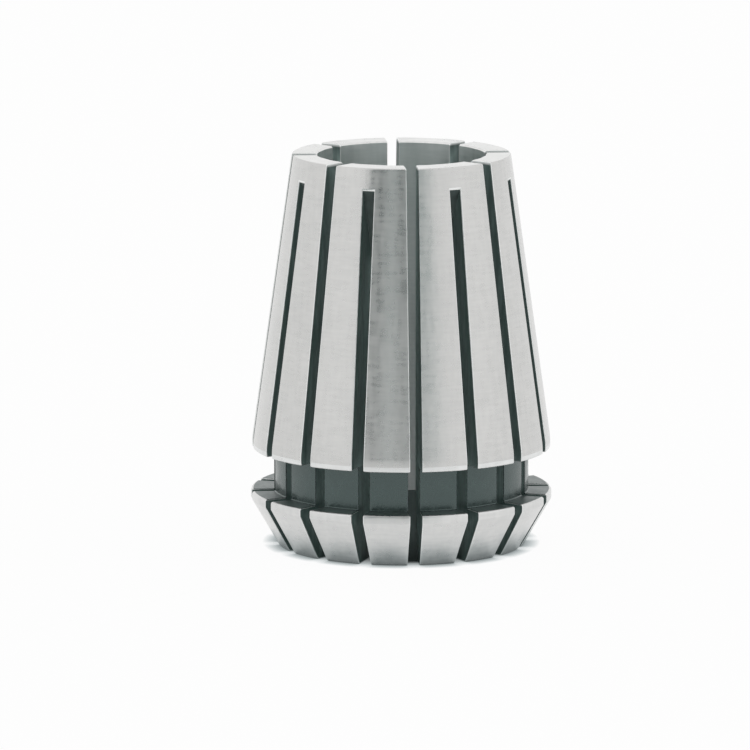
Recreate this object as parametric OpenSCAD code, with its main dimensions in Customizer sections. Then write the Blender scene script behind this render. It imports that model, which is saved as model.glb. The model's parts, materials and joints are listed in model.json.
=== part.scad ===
// ER collet with a straight bore, one piece of spring steel.
// The axis is Z. The front face, where the tool goes in, is at z = 0,
// and the small rear end that goes deepest into the holder is at the top.

/* [Size] */
// Length from the front face to the rear end
length = 34; // [30:0.5:40]
// Diameter of the head's rim, which the taper's line also reaches at the groove
head_d = 26; // [25:0.1:28]

/* [Head] */
// Height of the head, from the front face to the groove
head_h = 4.75; // [4:0.25:6]
// Height of the straight rim at the top of the head
rim_h = 0.7; // [0.3:0.1:1.2]
// Angle between the axis and the cone that the nut presses on
cone_angle = 30; // [25:1:35]
// Radius on the edge of the front face
face_round = 0.3; // [0.2:0.1:0.8]
// Radius on the upper edge of the rim
rim_round = 0.2; // [0.1:0.05:0.3]

/* [Nut groove] */
// Width of the groove that the nut's ring snaps into
groove_w = 3.7; // [2.8:0.1:4.5]
// Depth of the groove below the rim
groove_depth = 2; // [1.5:0.1:2.8]
// Radius in the corners of the groove
groove_round = 0.1; // [0.1:0.1:0.6]

/* [Seat taper] */
// Angle between the axis and the taper
taper_angle = 8; // [7:0.5:9]
// Height of the straight band at the large end of the taper
band_h = 0.8; // [0.5:0.1:1.5]
// Radius on the lower edge of that band
band_round = 0.15; // [0.1:0.05:0.4]
// Radius on the outer edge of the rear end
rear_round = 0.15; // [0.1:0.05:0.6]

/* [Bore] */
// Diameter of the bore, which is that of the largest tool shank
bore_d = 14.5; // [10:0.5:15.5]
// Size of the chamfer at each mouth of the bore
bore_chamfer = 0.15; // [0.1:0.05:0.5]

/* [Slots] */
// Number of slots sawn from each end
slots_each_end = 8; // [6:1:8]
// Width of a slot
slot_w = 1; // [0.7:0.1:1.2]
// Radius of the slitting saw, which gives the curved floor at a slot's end
saw_r = 30; // [25:1:40]
// How far the saw's teeth run past the wall of the bore
saw_overrun = 1; // [0.5:0.1:2]
// Height of the ring left above the slots that are sawn from the front
rear_web = 1.8; // [1.2:0.1:3]
// Height of the bridge left on the bore by the slots sawn from the rear
front_web = 5.9; // [4.5:0.1:8]

/* [Hidden] */
$fn = 96;

STEEL = [0.74, 0.74, 0.73];
ROUND_STEPS = 5;        // straight steps that make up a small round edge
CLEAR = 1;              // how far a cutter reaches past the surface it cuts

head_r = head_d / 2;
groove_r = head_r - groove_depth;
bore_r = bore_d / 2;
mouth_r = bore_r + bore_chamfer;
slot_pitch = 360 / slots_each_end;

rim_z = head_h - rim_h;
face_r = head_r - rim_z * tan(cone_angle);
band_z = head_h + groove_w;
seat_z = band_z + band_h;
band_r = taper_at(seat_z);
outer_r = head_r + CLEAR;

// Place of the saw's axis, and the height at which its edge leaves a surface
saw_floor_r = bore_r - saw_overrun;
saw_axis_r = saw_floor_r + saw_r;
front_slot_top = length - rear_web;
front_saw_z = front_slot_top - saw_reach(taper_at(front_slot_top));
rear_saw_z = front_web + saw_reach(bore_r);

// Radius of the taper at height z
function taper_at(z) = head_r - (z - band_z) * tan(taper_angle);

// Half the height that the saw cuts at radius r
function saw_reach(r) = sqrt(pow(saw_r, 2) - pow(saw_axis_r - r, 2));

// Points of a small round with its centre at [r, z], from angle a to angle b
function round_edge(r, z, size, a, b) = [
    for (i = [0 : ROUND_STEPS])
        let (t = a + (b - a) * i / ROUND_STEPS)
        [r + size * cos(t), z + size * sin(t)]
];

// Half section of the turned and ground blank, before it is slotted
module blank_section() {
    face_round_r = face_r - face_round * (1 - sin(cone_angle)) / cos(cone_angle);
    rear_round_z = length - rear_round;
    rear_round_r = taper_at(rear_round_z) - rear_round / cos(taper_angle);
    polygon(concat(
        [[bore_r, bore_chamfer], [mouth_r, 0]],
        round_edge(face_round_r, face_round, face_round, -90, -cone_angle),
        [[head_r, rim_z]],
        round_edge(head_r - rim_round, head_h - rim_round, rim_round, 0, 90),
        round_edge(groove_r + groove_round, head_h + groove_round, groove_round, 270, 180),
        round_edge(groove_r + groove_round, band_z - groove_round, groove_round, 180, 90),
        round_edge(band_r - band_round, band_z + band_round, band_round, -90, 0),
        [[band_r, seat_z]],
        round_edge(rear_round_r, rear_round_z, rear_round, taper_angle, 90),
        [[mouth_r, length], [bore_r, length - bore_chamfer]]
    ));
}

// The blank, a solid of revolution with the bore through it
module blank() {
    rotate_extrude() blank_section();
}

// The path of a saw that comes in from one end and stops with its axis at saw_z
module saw_cut(saw_z, end_z) {
    low_z = min(saw_z, end_z);
    high_z = max(saw_z, end_z);
    translate([-slot_w / 2, -outer_r, low_z])
        cube([slot_w, outer_r - saw_floor_r, high_z - low_z]);
    translate([0, -saw_axis_r, saw_z])
        rotate([0, 90, 0])
            cylinder(h = slot_w, r = saw_r, center = true, $fn = 180);
}

// Slots open at the front face, which stop short of the rear end
module front_slots() {
    for (i = [0 : slots_each_end - 1])
        rotate([0, 0, slot_pitch * (i + 0.5)])
            saw_cut(front_saw_z, -CLEAR);
}

// Slots open at the rear end, which leave a bridge on the bore at the front
module rear_slots() {
    for (i = [0 : slots_each_end - 1])
        rotate([0, 0, slot_pitch * i])
            saw_cut(rear_saw_z, length + CLEAR);
}

module collet() {
    color(STEEL)
        difference() {
            blank();
            front_slots();
            rear_slots();
        }
}

collet();
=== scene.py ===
import json
import math

import bmesh
import bpy
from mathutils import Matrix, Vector


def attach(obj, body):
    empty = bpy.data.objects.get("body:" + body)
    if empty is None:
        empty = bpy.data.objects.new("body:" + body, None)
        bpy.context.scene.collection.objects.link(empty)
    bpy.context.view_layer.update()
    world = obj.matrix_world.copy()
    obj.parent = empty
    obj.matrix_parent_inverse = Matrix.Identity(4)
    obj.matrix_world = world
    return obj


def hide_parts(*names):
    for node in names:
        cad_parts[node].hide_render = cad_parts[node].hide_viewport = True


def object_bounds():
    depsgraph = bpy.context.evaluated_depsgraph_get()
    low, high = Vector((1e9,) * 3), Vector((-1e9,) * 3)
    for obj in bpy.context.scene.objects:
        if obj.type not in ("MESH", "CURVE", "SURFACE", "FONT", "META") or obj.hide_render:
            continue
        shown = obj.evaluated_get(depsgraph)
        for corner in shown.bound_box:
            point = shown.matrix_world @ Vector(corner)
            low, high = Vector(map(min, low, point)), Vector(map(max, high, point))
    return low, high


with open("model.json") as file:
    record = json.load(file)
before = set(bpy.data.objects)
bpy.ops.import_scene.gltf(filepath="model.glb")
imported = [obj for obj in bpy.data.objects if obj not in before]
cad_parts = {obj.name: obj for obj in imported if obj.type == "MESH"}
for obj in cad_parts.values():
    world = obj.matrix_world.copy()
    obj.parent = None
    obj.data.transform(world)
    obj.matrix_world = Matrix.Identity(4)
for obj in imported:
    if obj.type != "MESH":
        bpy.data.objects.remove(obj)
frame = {"nodes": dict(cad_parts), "record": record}
cadLow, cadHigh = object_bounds()
print("frame loaded:", sorted(frame["nodes"]))

mm = 0.001
slack = 0.01             # millimetres that a point may lie off a size and still count as on it

# The collet's own sizes, in millimetres and degrees. Its length and the diameters of its
# head and its bore come from the frame
collet = {
    "ringPoints": 288,
    "rimHeight": 0.7,
    "headHeight": 4.75,
    "coneAngle": 30.0,
    "grooveWidth": 3.7,
    "grooveDepth": 2.0,
    "taperAngle": 8.0,
    "bandHeight": 0.8,
    "boreChamfer": 0.15,
    "faceRound": 0.3,
    "rimRound": 0.2,
    "grooveRound": 0.1,
    "bandRound": 0.15,
    "bandBlend": 5.0,         # radius between the straight band and the taper
    "rearRound": 0.15,
    "roundSteps": 4,
    "smoothAngle": 25.0,
}

# The slots, each sawn from one end by a disc that runs out in a curve
slots = {
    "eachEnd": 8,
    "width": 1.0,
    "sawRadius": 30.0,
    "sawPoints": 180,
    "sawOverrun": 1.0,
    "sawTravel": 40.0,
    "rearWeb": 1.8,
    "frontWeb": 5.9,
    "edgeBreak": 0.09,
    "breakSteps": 2,
    "clearLines": 4.4,        # degrees beside a slot's middle with no lines from ring to ring
    "clearBoreLines": 5.6,    # the same on the bore
    "lineTurn": 0.02,         # degrees that such a line may turn round the axis
}

headRadius = math.hypot(cadHigh.x / mm, slots["width"] / 2)        # slots cut off the box's widest points
length = cadHigh.z / mm
bore = next(mount for mount in frame["record"]["mounts"] if mount["name"] == "bore")
boreRadius = bore["dims"]["r_mm"]


def taperAt(height):
    return headRadius - (height - bandFoot) * math.tan(math.radians(collet["taperAngle"]))


rimFoot = collet["headHeight"] - collet["rimHeight"]
bandFoot = collet["headHeight"] + collet["grooveWidth"]
seatFoot = bandFoot + collet["bandHeight"]
faceRadius = headRadius - rimFoot * math.tan(math.radians(collet["coneAngle"]))
grooveRadius = headRadius - collet["grooveDepth"]
bandRadius = taperAt(seatFoot)
rearRadius = taperAt(length)
mouthRadius = boreRadius + collet["boreChamfer"]


halfSection = [
    (boreRadius, collet["boreChamfer"]),
    (mouthRadius, 0.0),
    (faceRadius, 0.0),
    (headRadius, rimFoot),
    (headRadius, collet["headHeight"]),
    (grooveRadius, collet["headHeight"]),
    (grooveRadius, bandFoot),
    (bandRadius, bandFoot),
    (bandRadius, seatFoot),
    (rearRadius, length),
    (mouthRadius, length),
    (boreRadius, length - collet["boreChamfer"]),
    (boreRadius, collet["boreChamfer"]),
]


# Selecting by place

def startClean():
    if bpy.context.object and bpy.context.object.mode != "OBJECT":
        bpy.ops.object.mode_set(mode="OBJECT")
    bpy.ops.object.select_all(action="DESELECT")


def pickOnly(piece):
    startClean()
    piece.select_set(True)
    bpy.context.view_layer.objects.active = piece


def pick(kind, test):
    # the points, edges or faces that pass a test, in edit mode
    mesh = bpy.context.edit_object.data
    bpy.ops.mesh.select_mode(type=kind)
    bpy.ops.mesh.select_all(action="DESELECT")
    bm = bmesh.from_edit_mesh(mesh)
    for part in {"VERT": bm.verts, "EDGE": bm.edges, "FACE": bm.faces}[kind]:
        if test(part):
            part.select_set(True)
    bmesh.update_edit_mesh(mesh)


def radiusOf(point):
    return math.hypot(point.x, point.y) / mm


# Materials

noiseLow, noiseHigh = 0.3, 0.7        # noise seldom goes past these


def newMaterial(name):
    material = bpy.data.materials.new(name)
    material.use_nodes = True
    tree = material.node_tree
    return material, tree, tree.nodes["Principled BSDF"]


def noiseOn(tree, cells, detail=0.0, roughness=0.5):
    # noise on the object's own coordinates, with so many cells to the metre in x, y and z
    place = tree.nodes.new("ShaderNodeTexCoord")
    mapping = tree.nodes.new("ShaderNodeMapping")
    mapping.inputs["Scale"].default_value = cells
    noise = tree.nodes.new("ShaderNodeTexNoise")
    noise.inputs["Scale"].default_value = 1.0
    noise.inputs["Detail"].default_value = detail
    noise.inputs["Roughness"].default_value = roughness
    tree.links.new(place.outputs["Object"], mapping.inputs["Vector"])
    tree.links.new(mapping.outputs["Vector"], noise.inputs["Vector"])
    return noise.outputs["Fac"]


def rampOf(tree, value, stops):
    ramp = tree.nodes.new("ShaderNodeValToRGB")
    while len(ramp.color_ramp.elements) < len(stops):
        ramp.color_ramp.elements.new(0.5)
    for element, (place, colour) in zip(ramp.color_ramp.elements, stops):
        element.position = place
        element.color = (*colour, 1)
    tree.links.new(value, ramp.inputs["Fac"])
    return ramp.outputs["Color"]


def rangeOf(tree, value, low, high, start=noiseLow, stop=noiseHigh):
    remap = tree.nodes.new("ShaderNodeMapRange")
    remap.inputs["From Min"].default_value = start
    remap.inputs["From Max"].default_value = stop
    remap.inputs["To Min"].default_value = low
    remap.inputs["To Max"].default_value = high
    tree.links.new(value, remap.inputs["Value"])
    return remap.outputs["Result"]


def mathOf(tree, operation, first, second):
    step = tree.nodes.new("ShaderNodeMath")
    step.operation = operation
    for socket, value in zip(step.inputs, (first, second)):
        if isinstance(value, (int, float)):
            socket.default_value = value
        else:
            tree.links.new(value, socket)
    return step.outputs["Value"]


def average(tree, first, second):
    return mathOf(tree, "MULTIPLY", mathOf(tree, "ADD", first, second), 0.5)


def blend(tree, share, first, second):
    mixed = tree.nodes.new("ShaderNodeMix")
    mixed.data_type = "RGBA"
    tree.links.new(share, mixed.inputs["Factor"])
    tree.links.new(first, mixed.inputs["A"])
    tree.links.new(second, mixed.inputs["B"])
    return mixed.outputs["Result"]


def bumpOf(tree, shader, marks, height, strength):
    raised = tree.nodes.new("ShaderNodeBump")
    raised.inputs["Strength"].default_value = strength
    raised.inputs["Distance"].default_value = height * mm
    tree.links.new(marks, raised.inputs["Height"])
    tree.links.new(raised.outputs["Normal"], shader.inputs["Normal"])


def fromAxisOf(tree, place):
    # distance from the collet's axis
    flat = tree.nodes.new("ShaderNodeMapping")
    flat.inputs["Scale"].default_value = (1, 1, 0)
    out = tree.nodes.new("ShaderNodeVectorMath")
    out.operation = "LENGTH"
    tree.links.new(place, flat.inputs["Vector"])
    tree.links.new(flat.outputs["Vector"], out.inputs[0])
    return out.outputs["Value"]


# The bare steel, by how it was last worked, with lighter copies for the band, the cone, the bore
# and the broken edges. Lines are cells of noise to the metre, bump is in millimetres, and drawn
# is how far a reflection is stretched by the lines of grinding
worked = {
    "ground_steel": {
        "dark": (0.567, 0.569, 0.560),
        "light": (0.641, 0.639, 0.628),
        "roughness": (0.25, 0.35),
        "lines": (420, 420, 3400),
        "bump": 0.010,
        "drawn": 0.7,
    },
    # a lighter copy of the ground steel, for the band
    "ground_band": {
        "dark": (0.68, 0.69, 0.685),
        "light": (0.78, 0.79, 0.785),
        "roughness": (0.26, 0.38),
        "lines": (420, 420, 3400),
        "bump": 0.012,
        "drawn": 0.7,
    },
    # a lighter copy of the ground steel for the cone, painted light on it
    "ground_cone": {
        "dark": (0.61, 0.615, 0.61),
        "light": (0.70, 0.70, 0.69),
        "roughness": (0.27, 0.35),
        "lines": (420, 420, 3400),
        "bump": 0.016,
        "drawn": 0.7,
    },
    "turned_face": {
        "dark": (0.69, 0.695, 0.685),
        "light": (0.81, 0.81, 0.80),
        "roughness": (0.26, 0.36),
        "lines": (1200, 1200, 1200),
        "bump": 0.003,
        "drawn": 0.0,
    },
    # a lighter copy of the steel for the bore, painted light inside it
    "bore_wall": {
        "dark": (0.675, 0.72, 0.71),
        "light": (0.785, 0.82, 0.81),
        "roughness": (0.31, 0.37),
        "lines": (700, 700, 250),
        "bump": 0.001,
        "drawn": 0.0,
    },
    # a lighter copy of the steel for the broken edges, a painted highlight along them besides the light
    # their bevels catch
    "broken_edge": {
        "dark": (0.76, 0.775, 0.765),
        "light": (0.84, 0.85, 0.84),
        "roughness": (0.3, 0.4),
        "lines": (1500, 1500, 1500),
        "bump": 0.001,
        "drawn": 0.0,
    },
}

# Marks that all the bare steel has, as cells of noise to the metre, and the values of the
# mixed noise at which a finish is darkest and lightest
steelMarks = {
    "tones": (0.35, 0.65),
    "cloud": (220, 220, 220),
    "hairsRound": (700, 700, 3900),
    "hairsUp": (2500, 2500, 400),
    "grain": (2500, 2500, 2300),
    "grainUp": (2200, 2200, 330),
}


def steel(name):
    finish = worked[name]
    material, tree, shader = newMaterial(name)
    shader.inputs["Metallic"].default_value = 1.0
    if finish["drawn"]:
        around = tree.nodes.new("ShaderNodeTangent")
        around.direction_type = "RADIAL"
        around.axis = "Z"
        shader.inputs["Anisotropic"].default_value = finish["drawn"]
        shader.inputs["Anisotropic Rotation"].default_value = 0.25        # of a full turn
        tree.links.new(around.outputs["Tangent"], shader.inputs["Tangent"])
    hairlines = average(tree, noiseOn(tree, steelMarks["hairsRound"]), noiseOn(tree, steelMarks["hairsUp"]))
    tree.links.new(rangeOf(tree, hairlines, *finish["roughness"]), shader.inputs["Roughness"])
    fineLines = noiseOn(tree, finish["lines"], detail=3.0)
    cloud = noiseOn(tree, steelMarks["cloud"], detail=4.0)
    tint = average(tree, average(tree, fineLines, cloud), hairlines)
    darkAt, lightAt = steelMarks["tones"]
    colour = rampOf(tree, tint, ((darkAt, finish["dark"]), (lightAt, finish["light"])))
    tree.links.new(colour, shader.inputs["Base Color"])
    grain = average(tree, noiseOn(tree, steelMarks["grain"]), noiseOn(tree, steelMarks["grainUp"]))
    bumpOf(tree, shader, grain, finish["bump"], strength=1.0)
    return material


# Black scale left by the hardening, where nothing was ground afterwards
scale = {
    "dark": (0.004, 0.011, 0.010),
    "light": (0.024, 0.038, 0.036),
    "roughness": (0.12, 0.36),
    # A lighter copy of the scale for the flange's top, painted light where light falls on it
    "flangeDark": (0.050, 0.066, 0.064),
    "flangeLight": (0.078, 0.098, 0.094),
    "flangeRoughness": (0.26, 0.44),
    "index": 1.85,
    "tint": (0.80, 1.0, 0.98),
    "tones": (0.36, 0.66),
    "grain": (4200, 4200, 4200),
    "patches": (1100, 1100, 1100),
    "patchShare": 0.55,
    "bump": 0.03,
    "bumpStrength": 0.5,
}


def hardenedScale(name, dark, light, roughness):
    material, tree, shader = newMaterial(name)
    shader.inputs["Metallic"].default_value = 0.0
    shader.inputs["IOR"].default_value = scale["index"]
    shader.inputs["Specular Tint"].default_value = (*scale["tint"], 1)
    grain = noiseOn(tree, scale["grain"], detail=3.0)
    patches = noiseOn(tree, scale["patches"], detail=4.0, roughness=0.6)
    marks = mathOf(
        tree, "ADD", mathOf(tree, "MULTIPLY", grain, 1 - scale["patchShare"]),
        mathOf(tree, "MULTIPLY", patches, scale["patchShare"]),
    )
    darkAt, lightAt = scale["tones"]
    tree.links.new(rampOf(tree, marks, ((darkAt, dark), (lightAt, light))), shader.inputs["Base Color"])
    tree.links.new(rangeOf(tree, marks, *roughness), shader.inputs["Roughness"])
    bumpOf(tree, shader, marks, scale["bump"], scale["bumpStrength"])
    return material


# The sawn walls are black near the outside and painted lighter towards the bore, painted light
# for the light that gets into the slots, and they have a painted highlight along the rear face.
# Depths are in millimetres
sawn = {
    "outside": (0.084, 0.13, 0.121),
    "inside": (0.48, 0.605, 0.585),
    "blackDepth": 0.3,
    "brightDepth": 2.6,
    "rearCounts": 1.6,        # how many times a depth under the rear face counts
    "grooveLess": 0.6,        # how much less deep the groove counts, so that the walls under it are painted lighter
    "floorShare": 0.45,       # how light the floor of a slot is beside its walls, a painted shade
    # a painted highlight along the rear face, and the depths under that face where it is full and where it
    # ends
    "worn": (0.86, 0.88, 0.87),
    "wornDepths": (0.112, 0.28),
    "marks": (2500, 2500, 300),
    "markDepth": 0.8,         # how far the marks move the black's edge
    "markTone": 0.8,
    "wornMarkTone": 0.9,
    "roughness": (0.5, 0.65),
    "bump": 0.006,
    "bumpStrength": 0.25,
}


def outsideRadius(tree, height):
    # the outer radius at each height, read off the half section
    leastStep = 0.001        # between two stops, where the section runs flat
    stops = []
    for radius, at in halfSection:
        if radius <= mouthRadius:
            continue
        if radius == grooveRadius:
            radius += sawn["grooveLess"]
        place = at / length
        while stops and place <= stops[-1][0]:
            place += leastStep
        stops.append((place, (radius / headRadius,) * 3))
    share = rampOf(tree, mathOf(tree, "DIVIDE", height, length * mm), stops)
    return mathOf(tree, "MULTIPLY", share, headRadius * mm)


def sawnDepth(tree, radius, height, below):
    # how far a point of a wall lies under the nearest outer surface
    depth = mathOf(tree, "SUBTRACT", outsideRadius(tree, height), radius)
    depth = mathOf(tree, "MINIMUM", depth, mathOf(tree, "MULTIPLY", below, sawn["rearCounts"]))
    depth = mathOf(tree, "MINIMUM", depth, height)
    # the flange's top is an outer surface too
    fromFlange = mathOf(tree, "ABSOLUTE", mathOf(tree, "SUBTRACT", height, collet["headHeight"] * mm), 0.0)
    inwards = mathOf(tree, "MAXIMUM", mathOf(tree, "SUBTRACT", grooveRadius * mm, radius), 0.0)
    return mathOf(tree, "MINIMUM", depth, mathOf(tree, "ADD", fromFlange, inwards))


def markedWith(colour, low, high):
    darker = tuple(part * low for part in colour)
    lighter = tuple(part * high for part in colour)
    return ((noiseLow, darker), (noiseHigh, lighter))


def sawnWall(name, share):
    material, tree, shader = newMaterial(name)
    place = tree.nodes.new("ShaderNodeTexCoord").outputs["Object"]
    split = tree.nodes.new("ShaderNodeSeparateXYZ")
    tree.links.new(place, split.inputs["Vector"])
    height = split.outputs["Z"]
    below = mathOf(tree, "SUBTRACT", length * mm, height)
    depth = sawnDepth(tree, fromAxisOf(tree, place), height, below)
    marks = noiseOn(tree, sawn["marks"], detail=3.0)
    ragged = mathOf(tree, "MULTIPLY", mathOf(tree, "SUBTRACT", marks, 0.5), sawn["markDepth"] * mm)
    uneven = mathOf(tree, "ADD", depth, ragged)
    # painted light: the deeper a point of a wall lies, the lighter it is painted
    inside = rangeOf(tree, uneven, 0.0, 1.0, sawn["blackDepth"] * mm, sawn["brightDepth"] * mm)
    black = rampOf(tree, marks, markedWith(sawn["outside"], sawn["markTone"] * share, share))
    paintedLightColour = rampOf(tree, marks, markedWith(sawn["inside"], sawn["markTone"] * share, share))
    # a painted highlight on the walls along the rear face
    worn = rampOf(tree, marks, markedWith(sawn["worn"], sawn["wornMarkTone"], 1.0))
    highlightFull, highlightEnd = sawn["wornDepths"]
    atRear = rangeOf(tree, below, 1.0, 0.0, highlightFull * mm, highlightEnd * mm)
    colour = blend(tree, atRear, blend(tree, inside, black, paintedLightColour), worn)
    tree.links.new(colour, shader.inputs["Base Color"])
    tree.links.new(rangeOf(tree, marks, *sawn["roughness"]), shader.inputs["Roughness"])
    bumpOf(tree, shader, marks, sawn["bump"], sawn["bumpStrength"])
    return material


finishes = {
    "ground": steel("ground_steel"),
    "turned": steel("turned_face"),
    "scale": hardenedScale("hardened_scale", scale["dark"], scale["light"], scale["roughness"]),
    "sawn": sawnWall("sawn_slot", 1.0),
    "bore": steel("bore_wall"),
    "edge": steel("broken_edge"),
    "band": steel("ground_band"),
    # the slot floors take a darker copy of the wall colour, painted shade
    "sawnFloor": sawnWall("slot_floor", sawn["floorShare"]),
    # the flange's top in the lighter copy of the scale, painted light
    "flange": hardenedScale(
        "flange_top", scale["flangeDark"], scale["flangeLight"], scale["flangeRoughness"]
    ),
    "cone": steel("ground_cone"),
}
finishIndex = {finish: index for index, finish in enumerate(finishes)}
sawnIndices = (finishIndex["sawn"], finishIndex["sawnFloor"])
print("materials made:", len(finishes))


def giveFinishes(piece):
    for material in finishes.values():
        piece.data.materials.append(material)


def paintPicked(piece, finish):
    piece.active_material_index = finishIndex[finish]
    bpy.ops.object.material_slot_assign()


# The turned blank, pulled ring by ring along its half section

# Corners of the half section that are rounded: radius, height, round, and the turn there
roundedCorners = [
    (faceRadius, 0.0, collet["faceRound"], 90 - collet["coneAngle"]),
    (headRadius, collet["headHeight"], collet["rimRound"], 90),
    (grooveRadius, collet["headHeight"], collet["grooveRound"], 90),
    (grooveRadius, bandFoot, collet["grooveRound"], 90),
    (bandRadius, bandFoot, collet["bandRound"], 90),
    (bandRadius, seatFoot, collet["bandBlend"], collet["taperAngle"]),
    (rearRadius, length, collet["rearRound"], 90 - collet["taperAngle"]),
]


def roundReach(size, turn):
    # how far from its corner a round begins
    return size * math.tan(math.radians(turn / 2))


def turnBlank():
    startClean()
    radius, height = halfSection[0]
    bpy.ops.mesh.primitive_circle_add(
        vertices=collet["ringPoints"], radius=radius * mm, fill_type="NOTHING", location=(0, 0, 0)
    )
    blank = bpy.context.object
    blank.name = "collet_body"
    bpy.ops.object.mode_set(mode="EDIT")
    bpy.ops.mesh.select_all(action="SELECT")
    bpy.ops.transform.translate(value=(0, 0, height * mm))
    for nextRadius, nextHeight in halfSection[1:]:
        bpy.ops.mesh.extrude_region_move(
            TRANSFORM_OT_translate={"value": (0, 0, (nextHeight - height) * mm)}
        )
        grow = nextRadius / radius
        bpy.ops.transform.resize(value=(grow, grow, 1), center_override=(0, 0, nextHeight * mm))
        radius, height = nextRadius, nextHeight
    bpy.ops.mesh.select_all(action="SELECT")
    bpy.ops.mesh.remove_doubles(threshold=slack * mm)
    bpy.ops.mesh.normals_make_consistent(inside=False)
    for cornerRadius, cornerHeight, size, turn in roundedCorners:
        pick("EDGE", lambda edge: all(
            abs(radiusOf(vert.co) - cornerRadius) < slack and abs(vert.co.z / mm - cornerHeight) < slack
            for vert in edge.verts
        ))
        bpy.ops.mesh.bevel(
            offset=roundReach(size, turn) * mm, segments=collet["roundSteps"], affect="EDGES"
        )
    bpy.ops.object.mode_set(mode="OBJECT")
    return blank


def inGroove(place):
    # the groove and a third of the broken edges round it
    over = slots["edgeBreak"] / 3
    return (collet["headHeight"] - over < place.z / mm < bandFoot + over
            and radiusOf(place) < headRadius - collet["rimRound"])


def finishAt(face):
    # the surface that a face of the blank belongs to
    place = face.calc_center_median()
    radius, height = radiusOf(place), place.z / mm
    if radius < boreRadius + slack:
        return "bore"
    if radius < mouthRadius:
        return "turned"
    if height < slack or height > length - collet["rearRound"]:
        # the flat of an end and the part of its round that is nearly flat
        return "turned" if abs(face.normal.z) > 0.9 else "ground"
    if height < collet["headHeight"] - slack:
        return "cone"
    if inGroove(place):
        return "flange" if height < collet["headHeight"] + slack else "scale"
    if bandFoot < height < seatFoot - roundReach(collet["bandBlend"], collet["taperAngle"]):
        return "band"
    return "ground"


def paintBlank(blank):
    giveFinishes(blank)
    bpy.ops.object.mode_set(mode="EDIT")
    for finish in finishes:
        pick("FACE", lambda face: finishAt(face) == finish)
        paintPicked(blank, finish)
    bpy.ops.object.mode_set(mode="OBJECT")


# The slitting saw's path, one disc with half of its edge drawn out past an end

sawFloor = boreRadius - slots["sawOverrun"]
sawAxis = sawFloor + slots["sawRadius"]


def sawReach(radius):
    return math.sqrt(slots["sawRadius"] ** 2 - (sawAxis - radius) ** 2)


frontSlotTop = length - slots["rearWeb"]
frontSawHeight = frontSlotTop - sawReach(taperAt(frontSlotTop))
rearSawHeight = slots["frontWeb"] + sawReach(boreRadius)


def sawPath(height, travel):
    startClean()
    bpy.ops.mesh.primitive_cylinder_add(
        vertices=slots["sawPoints"], radius=slots["sawRadius"] * mm, depth=slots["width"] * mm,
        location=(0, -sawAxis * mm, height * mm), rotation=(0, math.pi / 2, 0),
    )
    path = bpy.context.object
    bpy.ops.object.transform_apply(location=True, rotation=True, scale=True)
    giveFinishes(path)
    bpy.ops.object.mode_set(mode="EDIT")
    bpy.ops.mesh.select_all(action="SELECT")
    paintPicked(path, "sawn")
    # the disc's rim leaves the floor of the slot, and its two sides the walls
    pick("FACE", lambda face: abs(face.normal.x) < 0.5)
    paintPicked(path, "sawnFloor")
    ahead = math.copysign(1, travel)
    pick("VERT", lambda vert: (vert.co.z / mm - height) * ahead > slack)
    bpy.ops.transform.translate(value=(0, 0, travel * mm))
    bpy.ops.object.mode_set(mode="OBJECT")
    return path


def sawPaths():
    paths = []
    pitch = 2 * math.pi / slots["eachEnd"]
    # the slots from the front stand half a pitch on from those from the rear
    for height, travel, first in (
        (frontSawHeight, -slots["sawTravel"], 0.5), (rearSawHeight, slots["sawTravel"], 0)
    ):
        path = sawPath(height, travel)
        for turn in range(slots["eachEnd"]):
            pickOnly(path)
            bpy.ops.object.duplicate()
            bpy.ops.transform.rotate(
                value=pitch * (turn + first), orient_axis="Z", center_override=(0, 0, 0)
            )
            paths.append(bpy.context.object)
        bpy.data.objects.remove(path)
    pickOnly(paths[0])
    for path in paths:
        path.select_set(True)
    bpy.ops.object.join()
    bpy.ops.object.transform_apply(location=True, rotation=True, scale=True)
    return bpy.context.object


def sawSlots(blank, cutter):
    pickOnly(blank)
    cut = blank.modifiers.new("saw", "BOOLEAN")
    cut.operation = "DIFFERENCE"
    cut.solver = "EXACT"
    cut.object = cutter
    bpy.ops.object.modifier_apply(modifier=cut.name)
    bpy.data.objects.remove(cutter)


def fromSlot(point):
    # degrees between a point and the middle of the nearest slot
    pitch = 180 / slots["eachEnd"]
    angle = math.degrees(math.atan2(point.y, point.x)) % pitch
    return min(angle, pitch - angle)


def besideSlot(edge):
    # a line from ring to ring that runs close beside a slot
    if any(face.material_index in sawnIndices for face in edge.link_faces):
        return False
    start, stop = edge.verts[0].co, edge.verts[1].co
    if start.xy.angle(stop.xy) > math.radians(slots["lineTurn"]):
        return False
    near = slots["clearBoreLines"] if radiusOf(start) < mouthRadius + slack else slots["clearLines"]
    return fromSlot(start) < near and fromSlot(stop) < near


def breakEdges(blank):
    bpy.ops.object.mode_set(mode="EDIT")
    # the lines beside a slot leave room for its broken edge
    pick("EDGE", besideSlot)
    bpy.ops.mesh.dissolve_edges(use_verts=True)
    pick("FACE", lambda face: face.material_index in sawnIndices)
    bpy.ops.mesh.region_to_loop()
    bpy.ops.mesh.bevel(
        offset=slots["edgeBreak"] * mm, segments=slots["breakSteps"], affect="EDGES",
        material=finishIndex["edge"],
    )
    pick("FACE", lambda face: (
        face.material_index == finishIndex["edge"] and inGroove(face.calc_center_median())
    ))
    paintPicked(blank, "scale")
    bpy.ops.object.mode_set(mode="OBJECT")


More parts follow.
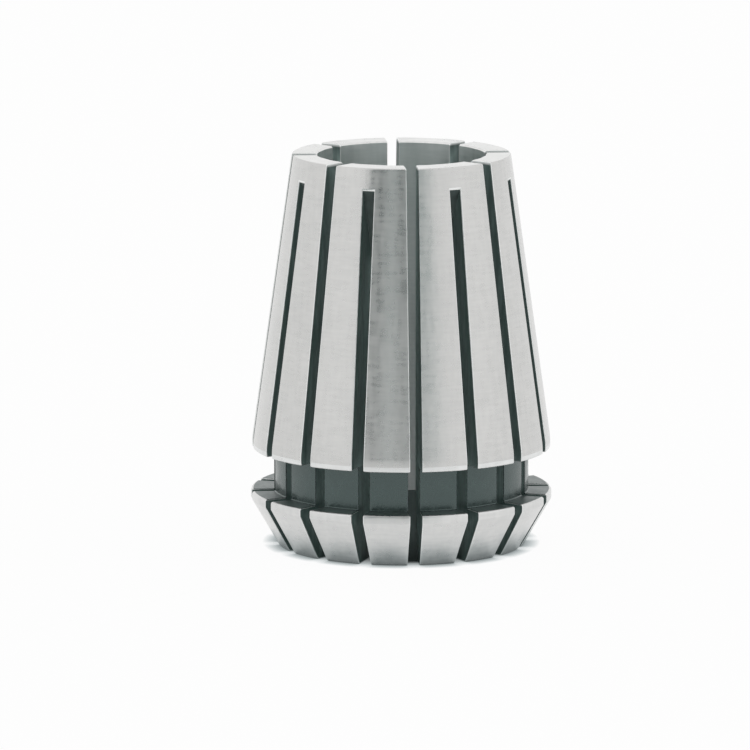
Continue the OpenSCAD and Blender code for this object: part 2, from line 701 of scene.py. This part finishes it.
def smoothTurned(piece):
    pickOnly(piece)
    bpy.ops.object.shade_smooth_by_angle(angle=math.radians(collet["smoothAngle"]))
    weighted = piece.modifiers.new("weighted", "WEIGHTED_NORMAL")
    weighted.keep_sharp = True
    bpy.ops.object.modifier_apply(modifier=weighted.name)
    # a turned surface faces straight away from the axis at each of its corners
    mesh = piece.data
    normals = [corner.vector.copy() for corner in mesh.corner_normals]
    up = Vector((0, 0, 1))
    turned = set()
    for face in mesh.polygons:
        if face.material_index not in (*sawnIndices, finishIndex["edge"]):
            turned.update(face.vertices)
    for face in mesh.polygons:
        if face.material_index in sawnIndices:
            continue
        for index in face.loop_indices:
            vertex = mesh.loops[index].vertex_index
            if vertex in turned:
                away = mesh.vertices[vertex].co * Vector((1, 1, 0))
                away.normalize()
                normal = normals[index]
                normals[index] = (away * normal.dot(away) + up * normal.z).normalized()
    mesh.normals_split_custom_set(normals)


body = turnBlank()
paintBlank(body)
print("blank turned:", len(body.data.polygons), "faces")
sawSlots(body, sawPaths())
print("slots sawn:", len(body.data.polygons), "faces")
breakEdges(body)
smoothTurned(body)
print("edges broken:", len(body.data.polygons), "faces")

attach(body, "root")
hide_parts("collet")


# Floor, light and camera

def seenDirectly(tree):
    # whether a ray comes from the camera, and whether it comes from there or a reflection
    path = tree.nodes.new("ShaderNodeLightPath")
    byCamera = path.outputs["Is Camera Ray"]
    return byCamera, mathOf(tree, "MAXIMUM", byCamera, path.outputs["Is Glossy Ray"])


# The floor, in millimetres, which is white with a soft shade where the collet stands. The
# shade is wider and darker in reflections
floor = {
    "size": 6000,
    "colour": (0.86, 0.86, 0.855),
    "roughness": 0.9,
    "gloss": 0.1,
    "white": 0.95,            # how much of what is seen is plain white
    "contactSeen": 1.2,
    "contactMirrored": 1.85,
    "mirroredPower": 1.65,
    "contactSamples": 16,
    "darkest": 0.1,
    "shadeTint": (0.84, 0.98, 1.0),
    "inBore": 0.25,           # how light the floor stays under the collet
    "shadeInwards": 2.2,      # it darkens from just outside the foot's edge to this far inside
    "shadeOutwards": 0.1,
}


def contactShade(tree, byCamera):
    contact = tree.nodes.new("ShaderNodeAmbientOcclusion")
    contact.samples = floor["contactSamples"]
    reach = rangeOf(tree, byCamera, floor["contactMirrored"] * mm, floor["contactSeen"] * mm, 0.0, 1.0)
    tree.links.new(reach, contact.inputs["Distance"])
    power = rangeOf(tree, byCamera, floor["mirroredPower"], 1.0, 0.0, 1.0)
    return mathOf(tree, "POWER", contact.outputs["AO"], power)


def makeFloor():
    startClean()
    bpy.ops.mesh.primitive_plane_add(size=floor["size"] * mm, location=(0, 0, 0))
    plane = bpy.context.object
    plane.name = "floor"
    material, tree, shader = newMaterial("pale_floor")
    shader.inputs["Base Color"].default_value = (*floor["colour"], 1)
    shader.inputs["Roughness"].default_value = floor["roughness"]
    shader.inputs["Specular IOR Level"].default_value = floor["gloss"]
    byCamera, seen = seenDirectly(tree)
    shade = contactShade(tree, byCamera)
    # the floor's white is painted darker inside the bore and in the slots, by distance from the axis, as
    # the shade where little light gets
    place = tree.nodes.new("ShaderNodeTexCoord").outputs["Object"]
    lit = rangeOf(
        tree, fromAxisOf(tree, place), floor["inBore"], 1.0,
        (faceRadius - floor["shadeInwards"]) * mm, (faceRadius + floor["shadeOutwards"]) * mm,
    )
    white = tree.nodes.new("ShaderNodeEmission")
    tree.links.new(rampOf(tree, shade, ((0, floor["shadeTint"]), (1, (1, 1, 1)))), white.inputs["Color"])
    strength = mathOf(tree, "MULTIPLY", rangeOf(tree, shade, floor["darkest"], 1.0, 0.0, 1.0), lit)
    tree.links.new(strength, white.inputs["Strength"])
    mixed = tree.nodes.new("ShaderNodeMixShader")
    tree.links.new(mathOf(tree, "MULTIPLY", seen, floor["white"]), mixed.inputs["Fac"])
    tree.links.new(shader.outputs["BSDF"], mixed.inputs[1])
    tree.links.new(white.outputs["Emission"], mixed.inputs[2])
    tree.links.new(mixed.outputs["Shader"], tree.nodes["Material Output"].inputs["Surface"])
    plane.data.materials.append(material)


# The white room, whose strength is 1 where it is seen
room = {
    "colour": (1, 1, 1),
    "onObject": 0.8,
}


def makeWorld():
    world = bpy.data.worlds.new("studio")
    bpy.context.scene.world = world
    world.use_nodes = True
    tree = world.node_tree
    background = tree.nodes["Background"]
    byCamera, seen = seenDirectly(tree)
    tree.links.new(rangeOf(tree, seen, room["onObject"], 1.0, 0.0, 1.0), background.inputs["Strength"])
    background.inputs["Color"].default_value = (*room["colour"], 1)


# A grey card in front, in millimetres, which the middle of the taper mirrors. Its tones,
# each at an angle round the axis, fade out to the right
card = {
    "distance": 200,
    "foot": 20,
    "top": 300,
    "tint": (0.76, 1.0, 0.985),
    "tones": [
        (-38.5, 0.25), (-26, 0.12), (-15, 0.58), (-4, 0.12), (7, 0.40), (13, 0.52), (19, 0.60), (24, 0.84),
        (29, 1.0),
    ],
}


def makeCard():
    startClean()
    bpy.ops.mesh.primitive_plane_add(size=1, location=(0, 0, 0))
    flag = bpy.context.object
    flag.name = "grey_card"
    middle = (card["tones"][0][0] + card["tones"][-1][0]) / 2
    width = 2 * card["distance"] * math.tan(math.radians(card["tones"][-1][0] - middle))
    height = card["top"] - card["foot"]
    flag.scale = (width * mm, height * mm, 1)
    flag.rotation_euler = (math.pi / 2, 0, math.radians(middle))
    flag.location = (
        card["distance"] * math.sin(math.radians(middle)) * mm,
        -card["distance"] * math.cos(math.radians(middle)) * mm,
        (card["foot"] + height / 2) * mm,
    )
    bpy.ops.object.transform_apply(location=True, rotation=True, scale=True)
    material, tree, shader = newMaterial("grey_card")
    place = tree.nodes.new("ShaderNodeTexCoord")
    split = tree.nodes.new("ShaderNodeSeparateXYZ")
    tree.links.new(place.outputs["UV"], split.inputs["Vector"])
    stops = []
    for azimuth, tone in card["tones"]:
        across = 0.5 + card["distance"] * math.tan(math.radians(azimuth - middle)) / width
        stops.append((across, tuple(tone * (part + (1 - part) * tone) for part in card["tint"])))
    glow = tree.nodes.new("ShaderNodeEmission")
    tree.links.new(rampOf(tree, split.outputs["X"], stops), glow.inputs["Color"])
    tree.links.new(glow.outputs["Emission"], tree.nodes["Material Output"].inputs["Surface"])
    flag.data.materials.append(material)
    flag.visible_camera = False
    flag.visible_shadow = False
    flag.visible_diffuse = False


# Two soft lamps that face the collet's middle, in millimetres and watts
lamps = {
    "left_softbox": {"place": (-550, -350, 450), "size": (500, 600), "power": 0.15},
    "right_softbox": {"place": (600, -250, 400), "size": (500, 600), "power": 0.15},
}


def makeLamp(name, place, size, power):
    lamp = bpy.data.lights.new(name, "AREA")
    lamp.shape = "RECTANGLE"
    lamp.size, lamp.size_y = size[0] * mm, size[1] * mm
    lamp.energy = power
    holder = bpy.data.objects.new(name, lamp)
    bpy.context.scene.collection.objects.link(holder)
    holder.location = Vector(place) * mm
    towards = (cadLow + cadHigh) / 2 - holder.location
    holder.rotation_euler = towards.to_track_quat("-Z", "Y").to_euler()


# The camera stands where the photograph's did, seen from the collet's own frame
camera = {
    "aside": -2.269,          # millimetres
    "distance": 622.0,
    "aimHeight": 14.619,
    "elevation": 10.087,      # degrees
    "turn": -5.515,
    "focalPixels": 7200.0,
    "framePixels": 750,
    "sensor": 36.0,
    "clip": (10, 10000),      # millimetres
}


def makeCamera():
    data = bpy.data.cameras.new("camera")
    data.sensor_width = camera["sensor"]
    data.lens = camera["focalPixels"] / camera["framePixels"] * camera["sensor"]
    data.clip_start, data.clip_end = camera["clip"][0] * mm, camera["clip"][1] * mm
    holder = bpy.data.objects.new("camera", data)
    bpy.context.scene.collection.objects.link(holder)
    elevation, turn = math.radians(camera["elevation"]), math.radians(camera["turn"])
    side = camera["aside"] * mm
    back = -camera["distance"] * math.cos(elevation) * mm
    holder.location = (
        side * math.cos(turn) - back * math.sin(turn),
        side * math.sin(turn) + back * math.cos(turn),
        (camera["aimHeight"] + camera["distance"] * math.sin(elevation)) * mm,
    )
    holder.rotation_euler = (math.pi / 2 - elevation, 0, turn)
    bpy.context.scene.camera = holder


makeFloor()
makeWorld()
makeCard()
for name, lamp in lamps.items():
    makeLamp(name, lamp["place"], lamp["size"], lamp["power"])
makeCamera()
bpy.context.scene.view_settings.view_transform = "Standard"
print("stage set")
